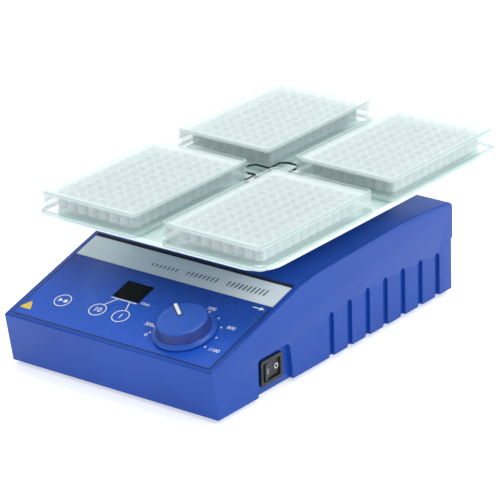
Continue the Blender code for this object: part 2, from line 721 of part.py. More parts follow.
def plate_centres():
    """Each plate's name and the x and y of its middle."""
    across = (PLATE_SPACING + PLATE_WIDTH) / 2
    along = (PLATE_SPACING + PLATE_LENGTH) / 2
    rows = (("front", -1), ("rear", 1))
    sides = (("left", -1), ("right", 1))
    return {
        f"{end}_{hand}": (sx * across, ARRAY_Y + sy * along) for end, sy in rows for hand, sx in sides
    }


def stud_places():
    """Two studs near each plate's inner corner and one halfway along each outer side."""
    places = []
    for x, y in plate_centres().values():
        side_x = math.copysign(1, x)
        side_y = math.copysign(1, y - ARRAY_Y)
        reach_x = PLATE_WIDTH / 2 - SKIRT_WALL - GAP - STUD_RADIUS
        reach_y = PLATE_LENGTH / 2 - SKIRT_WALL - GAP - STUD_RADIUS
        places.append((x - side_x * reach_x, y + side_y * reach_y * 0.55))
        places.append((x - side_x * reach_x, y - side_y * reach_y * 0.7))
        places.append((x + side_x * reach_x * 0.6, y - side_y * reach_y))
    return places


def make_spring(shaker):
    """A bent wire in the shape of a plus, held on a hub, that presses the four inner corners."""
    reach = SPRING_REACH
    half = SPRING_HALF_WIDTH
    outline = []
    for quarter in range(4):
        turn = Matrix.Rotation(-math.pi / 2 * quarter, 2)
        bend = [(half, half + 1.6), (half + 0.5, half + 0.5), (half + 1.6, half)]
        end = [(reach - 4, half), (reach - 1.6, half - 1.3), (reach, half - 4.2), (reach, -half + 4.2)]
        end += [(reach - 1.6, -half + 1.3), (reach - 4, -half)]
        outline += [turn @ Vector(point) for point in bend + end]
    curve = bpy.data.curves.new("plate_spring", "CURVE")
    curve.dimensions = "3D"
    curve.bevel_depth = SPRING_WIRE / 2 * MM
    curve.bevel_resolution = 2
    spline = curve.splines.new("POLY")
    spline.points.add(len(outline) - 1)
    for point, (x, y) in zip(spline.points, outline):
        point.co = (x * MM, y * MM, SPRING_LEVEL * MM, 1)
    spline.use_cyclic_u = True
    spring = bpy.data.objects.new("plate_spring", curve)
    bpy.data.collections["orbital_shaker"].objects.link(spring)
    spring.parent = shaker
    spring.location = Vector((0, ARRAY_Y, 0)) * MM
    curve.materials.append(finish("spring_black"))
    make_spring_hub(shaker)


def make_spring_hub(shaker):
    """A post with four short arms under the spring's inner bends."""
    at = (0, ARRAY_Y, 0)
    low = TRAY_TOP + GAP
    high = SPRING_LEVEL - SPRING_WIRE / 2 - GAP
    post = turned_mesh(cylinder_profile(HUB_RADIUS, low, high), 20)
    hub = add("spring_hub", post, "black_plastic", shaker, at)
    reach = SPRING_HALF_WIDTH * math.sqrt(2) + 1.2
    for turn in (math.pi / 4, 3 * math.pi / 4):
        arm = box_mesh((-reach, -1.1, high - 1.5), (reach, 1.1, high - 0.01))
        arm.transform(Matrix.Rotation(turn, 4, "Z"))
        combine(hub, "UNION", arm, shaker, at)


def make_plates(shaker):
    """The four plates and their lids. The wells are finer than this model goes."""
    floor = TRAY_TOP + GAP
    inner_width = PLATE_WIDTH - 2 * PLATE_LEDGE
    inner_length = PLATE_LENGTH - 2 * PLATE_LEDGE
    low_width = PLATE_WIDTH - 2 * SKIRT_WALL
    low_length = PLATE_LENGTH - 2 * SKIRT_WALL
    hollow = rounded_rectangle(low_width, low_length, 2.2, steps=3)
    hollow_in = rounded_rectangle(inner_width - 4, inner_length - 4, 2, steps=3)
    for name, (x, y) in plate_centres().items():
        at = (x, y, 0)
        flange_outline = rounded_rectangle(PLATE_WIDTH, PLATE_LENGTH, PLATE_CORNER)
        flange = outline_mesh([flange_outline], floor, floor + PLATE_FLANGE)
        plate = add(f"microplate_{name}", flange, "clear_plastic", shaker, at)
        body = outline_mesh(
            [rounded_rectangle(inner_width, inner_length, PLATE_CORNER)],
            floor + 1,
            floor + PLATE_HEIGHT,
        )
        combine(plate, "UNION", body, shaker, at)
        low = outline_mesh([hollow], floor - THROUGH, floor + PLATE_FLANGE - 1.0)
        combine(plate, "DIFFERENCE", low, shaker, at)
        deep = outline_mesh([hollow_in], floor - THROUGH, floor + SKIRT_DEPTH)
        combine(plate, "DIFFERENCE", deep, shaker, at)
        add_lid(name, at, floor, shaker)


def add_lid(name, at, floor, shaker):
    """A shallow clear cap that rests on the plate's rim."""
    width = PLATE_WIDTH - 2 * LID_INSET
    length = PLATE_LENGTH - 2 * LID_INSET
    high = floor + LID_TOP
    cap = outline_mesh([rounded_rectangle(width, length, 3.6)], high - LID_HEIGHT, high)
    lid = add(f"lid_{name}", cap, "clear_plastic", shaker, at)
    inside = rounded_rectangle(width - 2 * LID_WALL, length - 2 * LID_WALL, 2.6)
    hollow = outline_mesh([inside], high - LID_HEIGHT - THROUGH, floor + PLATE_HEIGHT + GAP)
    combine(lid, "DIFFERENCE", hollow, shaker, at)


def main():
    clear_scene()
    collection("orbital_shaker")
    collection("cutters")
    shaker = frame_empty("shaker_frame", None, (0, -OBJECT_MIDDLE_Y, FOOT_HEIGHT))
    panel = frame_empty("panel_frame", shaker, (0, *PANEL_START), PANEL_TILT)
    make_housing(shaker, panel)
    make_base(shaker)
    make_panel(panel)
    make_electronics(shaker, panel)
    make_knob(panel)
    make_switch(shaker)
    make_inlet(shaker)
    make_bridge(shaker)
    make_motor(shaker)
    make_belt(shaker)
    make_main_drive(shaker)
    make_idlers(shaker)
    make_carrier(shaker)
    make_tray(shaker)
    make_spring(shaker)
    make_plates(shaker)


main()
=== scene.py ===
"""The look of an orbital shaker that carries four lidded 96-well microplates.

Sizes are in millimetres until a mesh is made. Two frames are used: the object's own, on the floor
under its middle, and the control panel's, with x to the right, y up the slope and z out.
"""

import json
import math

import bmesh
import bpy
import numpy as np
from bpy.props import FloatProperty, FloatVectorProperty, PointerProperty
from mathutils import Matrix, Vector

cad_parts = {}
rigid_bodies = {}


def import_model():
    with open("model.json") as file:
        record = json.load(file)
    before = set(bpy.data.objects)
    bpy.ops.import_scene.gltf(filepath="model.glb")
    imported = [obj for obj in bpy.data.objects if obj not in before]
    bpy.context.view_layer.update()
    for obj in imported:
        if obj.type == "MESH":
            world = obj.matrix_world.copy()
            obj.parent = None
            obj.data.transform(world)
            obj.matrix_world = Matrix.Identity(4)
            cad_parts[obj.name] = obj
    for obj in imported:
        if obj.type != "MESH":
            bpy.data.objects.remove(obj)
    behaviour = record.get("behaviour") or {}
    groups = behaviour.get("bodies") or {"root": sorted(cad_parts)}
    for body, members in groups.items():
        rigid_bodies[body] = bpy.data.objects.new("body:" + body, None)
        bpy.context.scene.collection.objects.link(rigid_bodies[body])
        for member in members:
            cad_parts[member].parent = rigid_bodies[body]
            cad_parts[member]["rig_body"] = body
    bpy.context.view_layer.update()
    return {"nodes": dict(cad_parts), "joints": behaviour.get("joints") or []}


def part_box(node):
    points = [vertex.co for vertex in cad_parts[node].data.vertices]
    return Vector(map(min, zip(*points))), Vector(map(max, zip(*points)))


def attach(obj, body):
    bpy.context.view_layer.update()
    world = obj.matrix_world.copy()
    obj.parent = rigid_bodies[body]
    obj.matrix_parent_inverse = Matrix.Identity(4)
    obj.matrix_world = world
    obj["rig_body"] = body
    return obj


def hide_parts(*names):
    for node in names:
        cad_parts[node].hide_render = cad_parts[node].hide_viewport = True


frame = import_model()

bl_info = {
    "name": "Orbital shaker",
    "version": (1, 0, 0),
    "blender": (4, 5, 0),
    "location": "3D View > Sidebar > Shaker",
    "description": "Builds the shell, panel, drive and microplates of an orbital shaker",
    "category": "Add Mesh",
}

MM = 0.001
ENDS = ("front_left", "front_right", "rear_left", "rear_right")

# The control panel's frame: where the knob's axis meets it, and the places that the keys take on it.
KNOB_AT = (44.2, 27.9)
KEYS_AT = {"start_stop": (-58.5, 24.8), "tens": (-28.7, 25.5), "ones": (-8.8, 25.5)}
POINTER_ANGLE = math.radians(141.0)
ROCKER_TILT = math.radians(8.0)  # how the rocker stands at rest
INK = 0.07  # how thick print is
LIFT = 0.01  # how far print starts above the film
STRIP_LIFT = 0.11  # how far the strip's print starts above the film
DIAL_RADIUS = 24.3
DIAL_STEP = 25.9  # degrees from one dot of the dial to the next

# A plate, to the footprint standard: well pitch and count, then the heights of its steps.
PITCH = 9.0
ROWS, COLUMNS = 12, 8
WELL_SIDES = 12
DECK = 13.75
DECK_UNDER = 12.75
RIM = 14.35
WELL_FLOOR = 3.4
WELL_UNDER = 2.3


# ---------------------------------------------------------------- colours and material nodes


def linear(code):
    """An sRGB hex colour as the linear red, green and blue that shaders take."""
    channels = np.array([int(code[at : at + 2], 16) for at in (0, 2, 4)]) / 255
    return tuple(np.where(channels <= 0.04045, channels / 12.92, ((channels + 0.055) / 1.055) ** 2.4))


def add_node(material, kind, values=(), links=(), **settings):
    """Adds a node. Settings are its properties, values its free sockets, links the outputs that feed it."""
    tree = material.node_tree
    made = tree.nodes.new("ShaderNode" + kind)
    for name, value in settings.items():
        setattr(made, name, value)
    for socket, value in dict(values).items():
        made.inputs[socket].default_value = value
    for socket, source in dict(links).items():
        tree.links.new(source, made.inputs[socket])
    return made


def mottled(name, dark, light, patch, grain, relief, rough, stretch=(1, 1, 1), **sockets):
    """A finish of two close tints in soft patches, under a fine relief.

    Patch and grain are the sizes of the patches and of the relief's grains, relief is its height, all in
    millimetres, and rough is the least and the greatest roughness. Stretch draws both out along an axis.
    """
    material = bpy.data.materials.new(name)
    material.use_nodes = True
    tree = material.node_tree
    shader = tree.nodes["Principled BSDF"]
    place = add_node(material, "TexCoord").outputs["Object"]
    drawn = add_node(material, "Mapping", {"Scale": stretch}, {"Vector": place}).outputs["Vector"]
    patches = add_node(
        material, "TexNoise", {"Scale": 1 / (patch * MM), "Detail": 2.0}, {"Vector": drawn}
    ).outputs["Fac"]
    grains = add_node(
        material, "TexNoise", {"Scale": 1 / (grain * MM), "Detail": 3.0}, {"Vector": drawn}
    ).outputs["Fac"]
    spread = add_node(
        material, "MapRange", {"From Min": 0.3, "From Max": 0.7}, {"Value": patches}
    ).outputs["Result"]
    tint = add_node(
        material, "Mix", {6: (*dark, 1), 7: (*light, 1)}, {0: spread}, data_type="RGBA"
    ).outputs[2]
    gloss = add_node(
        material,
        "MapRange",
        {"From Min": 0.3, "From Max": 0.7, "To Min": rough[0], "To Max": rough[1]},
        {"Value": grains},
    ).outputs["Result"]
    bump = add_node(
        material, "Bump", {"Strength": 1.0, "Distance": relief * MM}, {"Height": grains}
    ).outputs["Normal"]
    tree.links.new(tint, shader.inputs["Base Color"])
    tree.links.new(gloss, shader.inputs["Roughness"])
    tree.links.new(bump, shader.inputs["Normal"])
    for socket, value in sockets.items():
        shader.inputs[socket].default_value = value
    return material


def between(colour, darker, lighter):
    """A colour's two close tints."""
    return tuple(c * darker for c in colour), tuple(min(c * lighter, 1.0) for c in colour)


def fade(material, axis, start, end, colour):
    """Paints light or shade into a finish: turns it to another colour along an axis, from start to end,
    both in metres.
    """
    shader = material.node_tree.nodes["Principled BSDF"]
    place = add_node(material, "TexCoord").outputs["Object"]
    along = add_node(material, "SeparateXYZ", (), {"Vector": place}).outputs[axis]
    share = add_node(
        material, "MapRange", {"From Min": start, "From Max": end}, {"Value": along}
    ).outputs["Result"]
    plain = shader.inputs["Base Color"].links[0].from_socket
    mixed = add_node(
        material, "Mix", {7: (*colour, 1)}, {0: share, 6: plain}, data_type="RGBA"
    ).outputs[2]
    material.node_tree.links.new(mixed, shader.inputs["Base Color"])


def moulded_abs(colour):
    """Injection-moulded ABS, spark-textured: a soft, even satin with a fine pebble."""
    dark, light = between(colour, 0.93, 1.06)
    # The real pebble is about 0.3 mm. It is drawn at 1.1 mm, so that it shows.
    return mottled(
        "moulded ABS, blue", dark, light, 45, 1.1, 0.012, (0.40, 0.5), **{"Specular IOR Level": 0.3}
    )


def polyester_film(colour):
    """Printed polyester film: shinier than the shell, with painted shade that darkens it towards the top of
    the slope, under the tray.
    """
    dark, light = between(colour, 0.96, 1.04)
    film = mottled(
        "polyester film, blue", dark, light, 60, 12, 0, (0.26, 0.28), **{"Specular IOR Level": 0.35}
    )
    # Painted shade: the film darkens to half its colour towards the top of the slope, where the tray above
    # shades it.
    fade(film, "Z", 0.049, 0.063, tuple(c * 0.5 for c in colour))
    return film


def glossy_abs(colour):
    """Polished ABS: the knob shines, with only a faint orange peel."""
    dark, light = between(colour, 0.95, 1.05)
    return mottled(
        "polished ABS, blue", dark, light, 12, 2.5, 0.004, (0.16, 0.2), **{"Specular IOR Level": 0.4}
    )


def matt_side_shade():
    """The knob's side, left matt from the mould for a sure hold, and painted a deeper blue than its
    polished top as painted shade, since the side catches less light.
    """
    return mottled("matt ABS, painted shade", linear("14307C"), linear("1C3C8E"), 6, 0.8, 0.02, (0.5, 0.65))


def moulded_white():
    """Moulded white ABS: clean and softly shiny."""
    return mottled(
        "moulded ABS, white", linear("E4E8EE"), linear("F7F9FC"), 4, 1.0, 0.004, (0.3, 0.4), IOR=1.54
    )


def foil_label():
    """Brushed aluminium foil on a label: fine lines along its length, with a painted highlight that
    brightens it towards one end.
    """
    foil = mottled(
        "brushed aluminium foil", linear("C4D4D6"), linear("E6F2F2"), 22, 0.8, 0.006, (0.36, 0.48),
        (0.03, 1, 1), Metallic=0.2,
    )
    # Painted highlight: the foil turns nearly white towards its end at +x, where it catches the light.
    fade(foil, "X", 0.0, 0.07, linear("FCFFFF"))
    return foil


def acrylic_window():
    """Smoked acrylic: nearly black, mirror smooth, with a little haze in its gloss."""
    return mottled(
        "smoked acrylic", linear("030304"), linear("060608"), 8, 3.0, 0.0, (0.05, 0.08),
        **{"Specular IOR Level": 0.12},
    )


def moulded_nylon():
    """Moulded black nylon: a dull satin that greys at its grains."""
    return mottled(
        "moulded nylon, black", linear("101213"), linear("1C1F21"), 6, 0.7, 0.012, (0.38, 0.55), IOR=1.53
    )


def screen_ink(colour):
    """Screen-printed ink: flat and slightly uneven where the screen let less through."""
    dark, light = between(colour, 0.88, 1.0)
    return mottled("screen ink, white", dark, light, 1.5, 0.6, 0.004, (0.45, 0.6), IOR=1.5)


def strip_ink():
    """Dark blue-grey ink on the foil, thin enough to look slightly uneven."""
    return mottled("screen ink, dark", linear("20263F"), linear("313A58"), 1.5, 0.6, 0.004, (0.4, 0.55))


def yellow_ink():
    """Opaque yellow ink: a warm flat yellow."""
    return mottled("screen ink, yellow", linear("D9B72E"), linear("E8CB4C"), 1.5, 0.6, 0.004, (0.4, 0.55))


def anodised_aluminium(colour):
    """Satin anodised aluminium sheet: pale and faintly cool, with rolling lines along its length."""
    dark, light = between(colour, 0.93, 1.04)
    return mottled(
        "satin anodised aluminium", dark, light, 40, 1.0, 0.006, (0.34, 0.46), (1, 0.06, 1), Metallic=0.45
    )


def turned_aluminium():
    """Turned aluminium: bright, with tool marks that run round it as thin level lines."""
    return mottled(
        "turned aluminium", linear("B9BEC2"), linear("D6DADD"), 10, 0.9, 0.012, (0.26, 0.4),
        (0.1, 0.1, 1), Metallic=1.0,
    )


def ground_steel():
    """Ground steel: a darker mirror than aluminium, with very fine level lines."""
    return mottled(
        "ground steel", linear("9EA3A7"), linear("C2C6C9"), 10, 0.7, 0.006, (0.18, 0.3),
        (0.1, 0.1, 1), Metallic=1.0,
    )


def galvanised_steel():
    """Hot-dip galvanised sheet: grey, in crystals of zinc about 6 mm across, each with its own shine."""
    steel = mottled(
        "galvanised steel", linear("8D9397"), linear("B4B9BC"), 9, 1.4, 0.008, (0.32, 0.5), Metallic=1.0
    )
    shader = steel.node_tree.nodes["Principled BSDF"]
    place = add_node(steel, "TexCoord").outputs["Object"]
    crystals = add_node(
        steel, "TexVoronoi", {"Scale": 1 / (6 * MM)}, {"Vector": place}
    ).outputs["Color"]
    shine = add_node(
        steel, "MapRange", {"To Min": 0.28, "To Max": 0.52}, {"Value": crystals}
    ).outputs["Result"]
    steel.node_tree.links.new(shine, shader.inputs["Roughness"])
    return steel


def cast_zinc():
    """Die-cast zinc: dull grey with the rough, slightly pitted skin of the die."""
    return mottled(
        "cast zinc", linear("7F8488"), linear("9CA1A5"), 5, 1.2, 0.06, (0.42, 0.6), Metallic=1.0
    )


def nickel_plate():
    """Nickel-plated brass: a warm bright metal."""
    return mottled(
        "nickel plate", linear("B9B5A6"), linear("DAD6C8"), 4, 0.8, 0.003, (0.15, 0.25), Metallic=1.0
    )


def moulded_rubber():
    """Moulded rubber: nearly black and matt, dusted grey on its high grains."""
    return mottled("moulded rubber", linear("161617"), linear("262627"), 4, 0.9, 0.03, (0.78, 0.92))


def solder_resist():
    """Circuit board under green solder resist: glossy, with the weave of the glass cloth beneath."""
    return mottled("circuit board, green", linear("184D30"), linear("256B45"), 3, 0.8, 0.01, (0.25, 0.4))


def winding_tape():
    """Polyester tape wound on a transformer: yellow, glossy, with level edges where turns overlap."""
    return mottled(
        "polyester tape, yellow", linear("B89B3E"), linear("D8C06C"), 4, 1.2, 0.03, (0.3, 0.42),
        (0.05, 0.05, 1),
    )


def coated_wire():
    """Spring wire with a black oxide and oil finish: black with a tight highlight."""
    return mottled("blackened spring wire", linear("0E0F10"), linear("1B1D1F"), 3, 0.8, 0.004, (0.25, 0.38))


def polystyrene(name, colour, facing, edge, rough):
    """Clear moulded polystyrene: looked through straight on, and paler and denser at a slant.

    Facing and edge are how much the wall hides, straight on and edge on.
    """
    dark, light = between(colour, 0.97, 1.0)
    clear = mottled(name, dark, light, 14, 2.2, 0.0008, rough, IOR=1.59)
    shader = clear.node_tree.nodes["Principled BSDF"]
    slant = add_node(clear, "LayerWeight", {"Blend": 0.2}).outputs["Facing"]
    hidden = add_node(
        clear, "MapRange", {"From Max": 0.6, "To Min": facing, "To Max": edge}, {"Value": slant}
    ).outputs["Result"]
    clear.node_tree.links.new(hidden, shader.inputs["Alpha"])
    return clear


# ---------------------------------------------------------------- shapes as arrays


def lattice(rows, ring=False):
    """Points and faces of a surface whose rows are loops of points, each joined to the next.

    A loop runs anticlockwise seen from above. The rows climb the outside, cross the top inwards and go
    down the inside, so that faces point out. A ring's last row joins its first; otherwise the first and
    the last rows are each filled by one face.
    """
    count, size = rows.shape[:2]
    index = np.arange(count * size).reshape(count, size)
    low, high = (index, np.roll(index, -1, 0)) if ring else (index[:-1], index[1:])
    quads = np.stack([low, np.roll(low, -1, 1), np.roll(high, -1, 1), high], -1).reshape(-1, 4)
    faces = quads.tolist()
    if not ring:
        faces += [index[0, ::-1].tolist(), index[-1].tolist()]
    return rows.reshape(-1, 3), faces


def turned(profile, steps, ring=False):
    """A profile turned about z: each radius r and height h becomes the circle (r cos t, r sin t, h)."""
    radius, height = np.array(profile, float).T
    t = np.linspace(0, 2 * np.pi, steps, endpoint=False)
    across = radius[:, None] * np.cos(t)
    along = radius[:, None] * np.sin(t)
    return lattice(np.stack([across, along, np.repeat(height[:, None], steps, 1)], -1), ring)


def outline(width, length, corner, segments=(36, 24), arc=4):
    """A rounded rectangle, anticlockwise from the middle of its corner at +x, -y.

    Each side is half an arc, a straight and half an arc: with corner 0 the side is cut evenly.
    """
    loops = []
    for quarter in range(4):
        out, half = (width / 2, length / 2) if quarter % 2 == 0 else (length / 2, width / 2)
        parts = segments[quarter % 2]
        if corner == 0:
            along = np.linspace(-half, half, parts, endpoint=False)
            away = np.full(parts, out)
        else:
            rise = np.linspace(-np.pi / 4, 0, arc, endpoint=False)
            fall = np.linspace(0, np.pi / 4, arc, endpoint=False)
            run = np.linspace(corner - half, half - corner, parts - 2 * arc, endpoint=False)
            first = (corner - half + corner * np.sin(rise), out - corner + corner * np.cos(rise))
            last = (half - corner + corner * np.sin(fall), out - corner + corner * np.cos(fall))
            along = np.concatenate([first[0], run, last[0]])
            away = np.concatenate([first[1], np.full(run.size, out), last[1]])
        turn = [(1, 0, 0, 1), (0, 1, -1, 0), (-1, 0, 0, -1), (0, -1, 1, 0)][quarter]
        loops.append(np.stack([away * turn[0] + along * turn[2], away * turn[1] + along * turn[3]], -1))
    return np.concatenate(loops)


def carried(profile, width, length, corner, **cut):
    """Rows of a wall carried round a rounded rectangle.

    Each point of the profile is an inset from the rectangle's edge and a height.
    """
    rows = []
    for inset, height in profile:
        loop = outline(width - 2 * inset, length - 2 * inset, max(corner - inset, 0.3), **cut)
        rows.append(np.column_stack([loop, np.full(len(loop), height)]))
    return np.array(rows)


def level_tube(path, radius, sides):
    """A round wire along a level closed path: at each point, cos a across the path plus sin a upwards."""
    ahead = np.roll(path, -1, 0) - np.roll(path, 1, 0)
    ahead /= np.linalg.norm(ahead, axis=1)[:, None]
    across = np.column_stack([ahead[:, 1], -ahead[:, 0], np.zeros(len(path))])
    a = np.linspace(0, 2 * np.pi, sides, endpoint=False)
    rows = (
        path[None]
        + radius * np.cos(a)[:, None, None] * across[None]
        + radius * np.sin(a)[:, None, None] * np.array([0, 0, 1.0])
    )
    return lattice(rows, ring=True)


def through_points(points, parts=6):
    """A smooth closed line through the points: between b and c, with a before and d after, it is
    b + t (c - a) / 2 + t^2 (2a - 5b + 4c - d) / 2 + t^3 (3b - a - 3c + d) / 2.
    """
    b = np.array(points, float)
    a, c, d = np.roll(b, 1, 0), np.roll(b, -1, 0), np.roll(b, -2, 0)
    t = np.linspace(0, 1, parts, endpoint=False)[None, :, None]
    a, b, c, d = (each[:, None] for each in (a, b, c, d))
    line = b + t * (c - a) / 2 + t**2 * (2 * a - 5 * b + 4 * c - d) / 2 + t**3 * (3 * b - a - 3 * c + d) / 2
    return line.reshape(-1, line.shape[-1])


def text(words, size):
    """Printed words as a thin solid, centred on the origin and standing up from z = 0."""
    curve = bpy.data.curves.new("print", "FONT")
    curve.body = words
    curve.size = size
    curve.resolution_u = 3
    curve.align_x, curve.align_y = "CENTER", "CENTER"
    curve.extrude = INK / 2
    curve.offset = size * 0.012
    drawn = bpy.data.objects.new("print", curve)
    bpy.context.scene.collection.objects.link(drawn)
    mesh = drawn.evaluated_get(bpy.context.evaluated_depsgraph_get()).to_mesh()
    points = np.empty(len(mesh.vertices) * 3, np.float32)
    mesh.vertices.foreach_get("co", points)
    faces = [list(face.vertices) for face in mesh.polygons]
    bpy.data.objects.remove(drawn)
    return points.reshape(-1, 3) + (0, 0, INK / 2), faces


def band_faces(size, bands):
    """The numbers of the faces in some bands of a surface whose rows have that many points."""
    return np.concatenate([np.arange(size) + size * band for band in bands])


def polygon(corners):
    """A flat printed shape of any corners, standing up from z = 0."""
    flat = np.array(corners, float)
    rows = [np.column_stack([flat, np.full(len(flat), z)]) for z in (0, INK)]
    return lattice(np.array(rows))


def bar(start, end, width):
    """A flat bar of ink between two points of the panel."""
    start, end = np.array(start, float), np.array(end, float)
    side = (end - start)[::-1] * (1, -1) * width / 2 / np.linalg.norm(end - start)
    return polygon([start + side, end + side, end - side, start - side])


def moved(shape, x=0.0, y=0.0, z=0.0, turn=0.0):
    """A shape turned about z and then moved."""
    points, faces = shape
    c, s = math.cos(turn), math.sin(turn)
    spun = points @ np.array([[c, s, 0], [-s, c, 0], [0, 0, 1]])
    return spun + (x, y, z), faces


# ---------------------------------------------------------------- pieces


def joint(name):
    """The frame's joint of that name, with its axis and its place."""
    return next(each for each in frame["joints"] if each["name"] == name)


def panel_frame():
    """The panel's frame in millimetres, from the knob's axis."""
    knob = joint("speed_knob_turn")
    normal = Vector(knob["axis"]).normalized()
    slope = normal.cross(Vector((1, 0, 0)))
    turn = Matrix((Vector((1, 0, 0)), slope, normal)).transposed().to_4x4()
    start = Vector(knob["pos_m"]) / MM - turn @ Vector((*KNOB_AT, 0))
    return Matrix.Translation(start) @ turn


def piece(name, shapes, material, body, replaces=(), place=None, sharp=35):
    """Makes one piece of several shapes, in millimetres, puts it in its place and on its body."""
    points, faces, count = [], [], 0
    for shape_points, shape_faces in shapes:
        points.append(shape_points)
        faces += [[at + count for at in face] for face in shape_faces]
        count += len(shape_points)
    points = np.concatenate(points)
    if place is not None:
        matrix = np.array(place)
        points = points @ matrix[:3, :3].T + matrix[:3, 3]
    mesh = bpy.data.meshes.new(name)
    mesh.from_pydata((points * MM).tolist(), [], faces)
    bm = bmesh.new()
    bm.from_mesh(mesh)
    bmesh.ops.remove_doubles(bm, verts=bm.verts, dist=1e-6)
    bm.to_mesh(mesh)
    bm.free()
    return settle(name, mesh, material, body, replaces, sharp)


def tint_faces(obj, material, faces):
    """Gives the numbered faces of a piece another finish."""
    index = np.empty(len(obj.data.polygons), np.int32)
    obj.data.polygons.foreach_get("material_index", index)
    index[faces] = len(obj.data.materials)
    obj.data.materials.append(material)
    obj.data.polygons.foreach_set("material_index", index)


def settle(name, mesh, material, body, replaces, sharp):
    """Makes an object of a mesh: smooth but for edges past the sharp angle, finished, and on its body."""
    mesh.shade_smooth()
    mesh.set_sharp_from_angle(angle=math.radians(sharp))
    mesh.materials.clear()
    mesh.materials.append(material)
    obj = bpy.data.objects.new(name, mesh)
    bpy.context.scene.collection.objects.link(obj)
    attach(obj, body)
    if replaces:
        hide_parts(*replaces)
    return obj


def eased_copy(name, node, material, edge, segments=2, angle=38):
    """A copy of a CAD node, merged into whole faces, with its edges eased by a bevel of that width."""
    source = frame["nodes"][node]
    mesh = source.data.copy()
    bm = bmesh.new()
    bm.from_mesh(mesh)
    bmesh.ops.remove_doubles(bm, verts=bm.verts, dist=2e-6)
    bmesh.ops.dissolve_limit(bm, angle_limit=math.radians(0.4), verts=bm.verts, edges=bm.edges)
    for line in bm.edges:
        line.smooth = True
    bm.to_mesh(mesh)
    bm.free()
    obj = settle(name, mesh, material, source["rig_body"], (node,), angle)
    bevel = obj.modifiers.new("eased edges", "BEVEL")
    bevel.width = edge * MM
    bevel.segments = segments
    bevel.limit_method = "ANGLE"
    bevel.angle_limit = math.radians(angle)
    bevel.use_clamp_overlap = True
    bevel.harden_normals = True
    return obj


def finish_nodes(material, *nodes):
    """Gives CAD nodes a finish."""
    for node in nodes:
        slots = frame["nodes"][node].data.materials
        slots.clear()
        slots.append(material)


# ---------------------------------------------------------------- what a user would change


class HousingSettings(bpy.types.PropertyGroup):
    colour: FloatVectorProperty(
        name="Shell colour", description="Colour of the moulded shell", subtype="COLOR",
        default=linear("1447A6"), min=0, max=1,
    )
    edge: FloatProperty(
        name="Edge rounding", description="Width of the rounding along the shell's cut edges",
        subtype="DISTANCE", default=0.0006, min=0.0001, max=0.002,
    )


class PanelSettings(bpy.types.PropertyGroup):
    colour: FloatVectorProperty(
        name="Film colour", description="Colour of the control film", subtype="COLOR",
        default=linear("1E56C2"), min=0, max=1,
    )
    ink: FloatVectorProperty(
        name="Ink colour", description="Colour of the printed marks", subtype="COLOR",
        default=linear("F2F5FA"), min=0, max=1,
    )
    ring: FloatProperty(
        name="Key ring width", description="Width of the printed ring round each key",
        subtype="DISTANCE", default=0.0008, min=0.0002, max=0.002,
    )


class KnobSettings(bpy.types.PropertyGroup):
    colour: FloatVectorProperty(
        name="Knob colour", description="Colour of the speed knob", subtype="COLOR",
        default=linear("2658BC"), min=0, max=1,
    )
    dish: FloatProperty(
        name="Top dish", description="How far the knob's top is dished", subtype="DISTANCE",
        default=0.00015, min=0, max=0.001,
    )


class TraySettings(bpy.types.PropertyGroup):
    colour: FloatVectorProperty(
        name="Tray colour", description="Colour of the anodised tray", subtype="COLOR",
        default=linear("E6F8F7"), min=0, max=1,
    )


class PlateSettings(bpy.types.PropertyGroup):
    colour: FloatVectorProperty(
        name="Plate tint", description="Tint of the clear plates", subtype="COLOR",
        default=linear("E8F8F7"), min=0, max=1,
    )
    lid_colour: FloatVectorProperty(
        name="Lid tint", description="Tint of the clear lids", subtype="COLOR",
        default=linear("ECF9FA"), min=0, max=1,
    )
    well: FloatProperty(
        name="Well radius", description="Radius of each well at its rim", subtype="DISTANCE",
        default=0.0034, min=0.001, max=0.004,
    )


class StageSettings(bpy.types.PropertyGroup):
    floor: FloatVectorProperty(
        name="Floor colour", description="Colour of the floor", subtype="COLOR",
        default=linear("FAFAFA"), min=0, max=1,
    )
    glow: FloatProperty(
        name="Floor glow", description="Light given off by the floor, which keeps it white", default=0.45,
        min=0, max=2,
    )
    power: FloatProperty(
        name="Lamp power", description="Power of the main soft lamp", default=24.0, min=1, max=500,
        unit="POWER",
    )


# ---------------------------------------------------------------- operators


class SHAKER_OT_housing(bpy.types.Operator):
    """The moulded shell, the floor plate with its screws, and the four feet"""

    bl_idname = "shaker.housing"
    bl_label = "Housing"

    def execute(self, context):
        settings = context.scene.shaker_housing
        shell = moulded_abs(settings.colour)
        eased_copy("housing_shell", "upper_housing", shell, settings.edge / MM)
        finish_nodes(galvanised_steel(), "base_plate")
        rubber = moulded_rubber()
        for end in ENDS:
            eased_copy(f"rubber_foot_{end}", f"foot_{end}", rubber, 0.5)
        self.screws()
        return {"FINISHED"}

    def screws(self):
        """Pan-head screws under the floor plate: a turned dome with a round recess."""
        low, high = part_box("base_plate")
        steel = ground_steel()
        tall, inset = 1.4, 7
        head = [(1.5, 0.7), (1.5, 0), (2.2, 0), (3.0, 0.4), (3.2, 1.0), (3.2, tall)]
        shape = turned(head, 36)
        middle, half = (low.y + high.y) / 2 / MM, (high.y - low.y) / 2 / MM
        for end, (x, y) in zip(ENDS, ((-1, -1), (1, -1), (-1, 1), (1, 1))):
            at = (x * (high.x / MM - inset), middle + y * half - y * inset, low.z / MM - tall)
            piece(f"floor_screw_{end}", [moved(shape, *at)], steel, "base")


